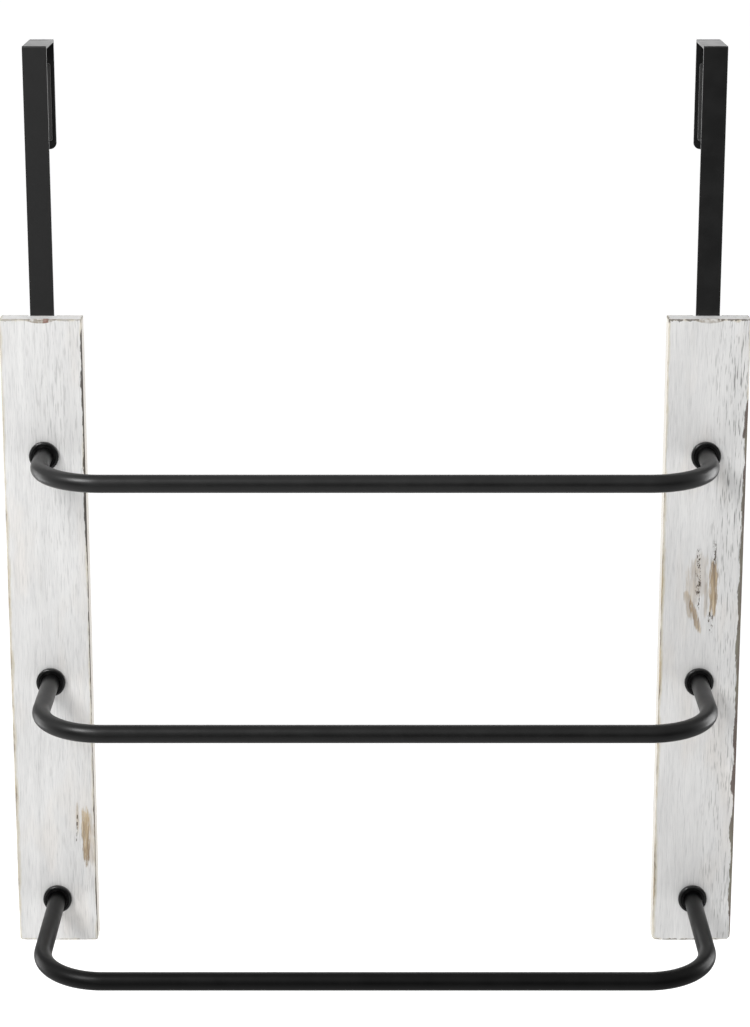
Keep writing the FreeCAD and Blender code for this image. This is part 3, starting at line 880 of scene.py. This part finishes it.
# -------------------------------------------------------------------- felt pieces
def fuzz(points, centre, amount):
    """Uneven felt: each point moves out or in a little, away from the centre."""
    moved = []
    for point in points:
        lift = noise.fractal(point * 900, 0.8, 2.0, 3) * amount
        out = (point - centre).normalized()
        moved.append(point + out * lift)
    return moved


# share of the pad's depth, and how far the outline is drawn in there
FELT_LEVELS = ((0.0, 0.0), (0.35, -0.12 * MM), (0.7, 0.1 * MM), (0.9, 0.45 * MM),
               (1.0, 1.0 * MM), (1.0, 2.0 * MM), (1.0, 3.2 * MM))


def pressed_pad(low, high, corner, crown):
    """Points and faces of a pressed pad with rounded corners and soft edges. Its
    flat side, glued on, faces +Y or -Y: crown is -1 or 1."""
    middle = (low + high) / 2
    half_x = (high.x - low.x) / 2
    half_z = (high.z - low.z) / 2
    depth = high.y - low.y
    glued = high.y if crown < 0 else low.y
    rings = []
    for height, inset in FELT_LEVELS:
        ring = []
        for sx, sz, start in ((1, 1, 0), (-1, 1, 90), (-1, -1, 180), (1, -1, 270)):
            centre = (middle.x + sx * (half_x - corner), middle.z + sz * (half_z - corner))
            for a, b in arc(centre, max(corner - inset, 0.2 * MM), start, start + 90, 12):
                ring.append(Vector((a, glued + crown * height * depth, b)))
        rings.append(ring)
    return skin(rings, "caps")


def build_felt(name, node, corner, crown, material):
    """A felt pad with a surface fine enough for its fuzz."""
    low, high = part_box(node)
    points, faces = pressed_pad(low, high, corner, crown)
    pad = new_object(name, points, faces)
    edit = bmesh.new()
    edit.from_mesh(pad.data)
    bmesh.ops.triangulate(edit, faces=[f for f in edit.faces if len(f.verts) > 4])
    bmesh.ops.subdivide_edges(
        edit, edges=[e for e in edit.edges if e.calc_length() > 1.2 * MM], cuts=2,
        use_grid_fill=True)
    places = fuzz([vertex.co.copy() for vertex in edit.verts], (low + high) / 2, 0.05 * MM)
    for vertex, place in zip(edit.verts, places):
        vertex.co = place
    edit.to_mesh(pad.data)
    edit.free()
    finish_piece(pad, material, node, 180)


# ---------------------------------------------------------------------- assembly
def dress_cad_nodes(materials):
    """Fasteners keep their CAD shape and get a finish."""
    for side in SIDES:
        for place in PLACES:
            dress(f"{side}_{place}_hook_screw", materials["zinc"])
        for row in ROWS:
            dress(f"{side}_{row}_bar_screw", materials["zinc"])
            dress(f"{side}_{row}_bar_washer", materials["zinc"])
            dress(f"{side}_{row}_tube_plug", materials["steel"])


def dress(node, material):
    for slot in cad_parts[node].material_slots:
        slot.material = material


# darkness and shine of each bar's coat, from the top bar to the bottom one: one black coat, made
# darker and duller bar by bar as painted shade for the lower bars, which the lights leave darker
BAR_COATS_WITH_PAINTED_SHADE = ((0.0055, 0.45), (0.0048, 0.36), (0.0030, 0.16))


def build_rack():
    boards = {
        "left": whitewashed_wood(
            "left", 0.93, streaky=(-30, 12, 0.27),
            scrapes=[(0.9, 21, 369, 2.6, 21), (0.35, 24, 372, 3.2, 18),
                     (0.45, 15.5, 355, 1.0, 12)],
            cracks=[(0.04, 14.9, 362, 0.45, 12, -0.06)],
            dark_edge=(12, 150, 1.7, (rgb(50, 44, 42), rgb(66, 56, 48))),
            chip=0.8, ends=0.4),
        # the right board's paint is set a little darker than the left's: partly painted shade, for
        # light that falls off to the right
        "right": whitewashed_wood(
            "right", 0.905, streaky=(-4, 20, 0.75),
            scrapes=[(0.9, 8, 188, 2.8, 19), (0.8, -4, 208, 2.0, 11, 0.3),
                     (0.3, -6, 184, 4.5, 16), (0.5, -8.5, 200, 2.2, 10, 0.2),
                     (0.35, 3, 196, 1.2, 12), (0.25, -1, 178, 5, 15)],
            cracks=[(0.025, -2.5, 180, 1.6, 22), (0.02, 8, 163, 1.3, 9),
                    (0.02, 6.5, 212, 1.8, 7)],
            dark_edge=(60, 420, 2.3, (rgb(84, 68, 62), rgb(112, 108, 92))),
            chip=0.0, ends=0.85),
    }
    straps = satin_black("strap_black", 0.0060, 0.47)
    gloss = gloss_black()
    cloth = felt()
    for side in SIDES:
        build_board(side, boards[side])
        build_hook(side, straps)
        for row in ROWS:
            build_collar(side, row, gloss)
        build_felt(f"{side}_felt_strip", f"{side}_hook_pad", 1.5 * MM, -1, cloth)
        build_felt(f"{side}_felt_disc", f"{side}_bumper", 6.99 * MM, 1, cloth)
    # each bar gets its own copy of the black coat, darker towards the bottom bar: painted shade
    for row, coat in zip(ROWS, BAR_COATS_WITH_PAINTED_SHADE):
        build_bar(row, satin_black(f"{row}_bar_shaded_black", *coat))
    dress_cad_nodes({"zinc": zinc(), "steel": bare_steel()})


# -------------------------------------------------------------- stage and lights
def build_floor():
    """Pale floor below the door that the rack would hang on."""
    half = 40
    drop = -2.0
    floor = new_object(
        "floor", [(-half, -half, drop), (half, -half, drop), (half, half, drop),
                  (-half, half, drop)], [(0, 1, 2, 3)])
    pale = Material("pale_floor")
    speckle = pale.noise((1, 1, 1), 3, 2, 0.5)
    colour = pale.ramp(speckle, [(0.4, grey(0.93)), (0.6, grey(0.96))])
    floor.data.materials.append(pale.surface(
        Base_Color=colour, Roughness=0.9, Specular_IOR_Level=0.1,
        Emission_Color=grey(1.0), Emission_Strength=0.55))
    floor.visible_glossy = False


def build_sky():
    """White studio, seen as even white. As a light it has a darker band in front, at
    the height of the rack, is dimmer behind and a little brighter on the left."""
    world = bpy.data.worlds.new("studio")
    bpy.context.scene.world = world
    world.use_nodes = True
    sky = Nodes(world.node_tree, "Generated")
    level = sky.math("ABSOLUTE", sky.math("SUBTRACT", sky.axes["Z"], 0.03))
    band = sky.remap(level, 0.06, 0.62, 0.58, 0.0)
    front = sky.remap(sky.axes["Y"], -0.85, 0.3, 1.0, 0.0)
    light = sky.math("SUBTRACT", 0.65, sky.math("MULTIPLY", band, front))
    light = sky.math("SUBTRACT", light, sky.remap(sky.axes["Y"], 0.1, 0.9, 0.0, 0.28))
    light = sky.math("MULTIPLY", light, sky.remap(sky.axes["X"], -0.4, 0.35, 1.16, 0.68))
    seen = sky.add("ShaderNodeLightPath").outputs["Is Camera Ray"]
    strength = sky.add("ShaderNodeMix")
    for socket, value in zip((0, 2, 3), (seen, light, 1.0)):
        sky.set(strength.inputs[socket], value)
    background = sky.add("ShaderNodeBackground", {
        "Color": grey(1.0), "Strength": strength.outputs[0]})
    output = sky.add("ShaderNodeOutputWorld")
    sky.tree.links.new(background.outputs[0], output.inputs[0])


# name, place, width and height, and power in watts: all of them face the rack
LIGHTS = (
    ("key", (-1.5, -1.4, 1.6), (1.1, 1.1), 52),
    ("front_left", (-0.9, -2.2, 0.35), (0.8, 0.8), 2),
    ("low_left", (-0.62, -2.2, -0.4), (0.35, 0.6), 0.9),
    ("backdrop", (0.0, 3.2, 0.25), (3.0, 1.8), 21.5),
    ("right_back", (1.7, 0.8, -0.35), (0.9, 1.4), 18),
    ("left_back", (-1.7, 0.8, -0.7), (0.8, 1.2), 7),
)


def area_light(name, place, size, watts):
    data = bpy.data.lights.new(name, "AREA")
    data.shape = "RECTANGLE"
    data.size, data.size_y = size
    data.energy = watts
    lamp = bpy.data.objects.new(name, data)
    bpy.context.scene.collection.objects.link(lamp)
    lamp.location = place
    aim = (cad_low + cad_high) / 2 - lamp.location
    lamp.rotation_euler = aim.to_track_quat("-Z", "Y").to_euler()


def build_lights():
    build_sky()
    for light in LIGHTS:
        area_light(*light)


CAMERA_AHEAD = 1.683
CAMERA_ABOVE_TOP_BAR = 0.471
CAMERA_PITCH = 13.52
CAMERA_LENS = 91.03
CAMERA_SHIFT = -0.1495


def build_camera():
    """Long lens from the front, above the hooks."""
    data = bpy.data.cameras.new("camera")
    data.sensor_width = 36
    data.lens = CAMERA_LENS
    data.shift_y = CAMERA_SHIFT
    camera = bpy.data.objects.new("camera", data)
    bpy.context.scene.collection.objects.link(camera)
    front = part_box("left_board")[0].y
    camera.location = (0, front - CAMERA_AHEAD, centre_of("top_bar").z + CAMERA_ABOVE_TOP_BAR)
    camera.rotation_euler = (math.radians(90 - CAMERA_PITCH), 0, 0)
    bpy.context.scene.camera = camera


bpy.context.scene.view_settings.view_transform = "Standard"
build_camera()
build_lights()
build_floor()
build_rack()
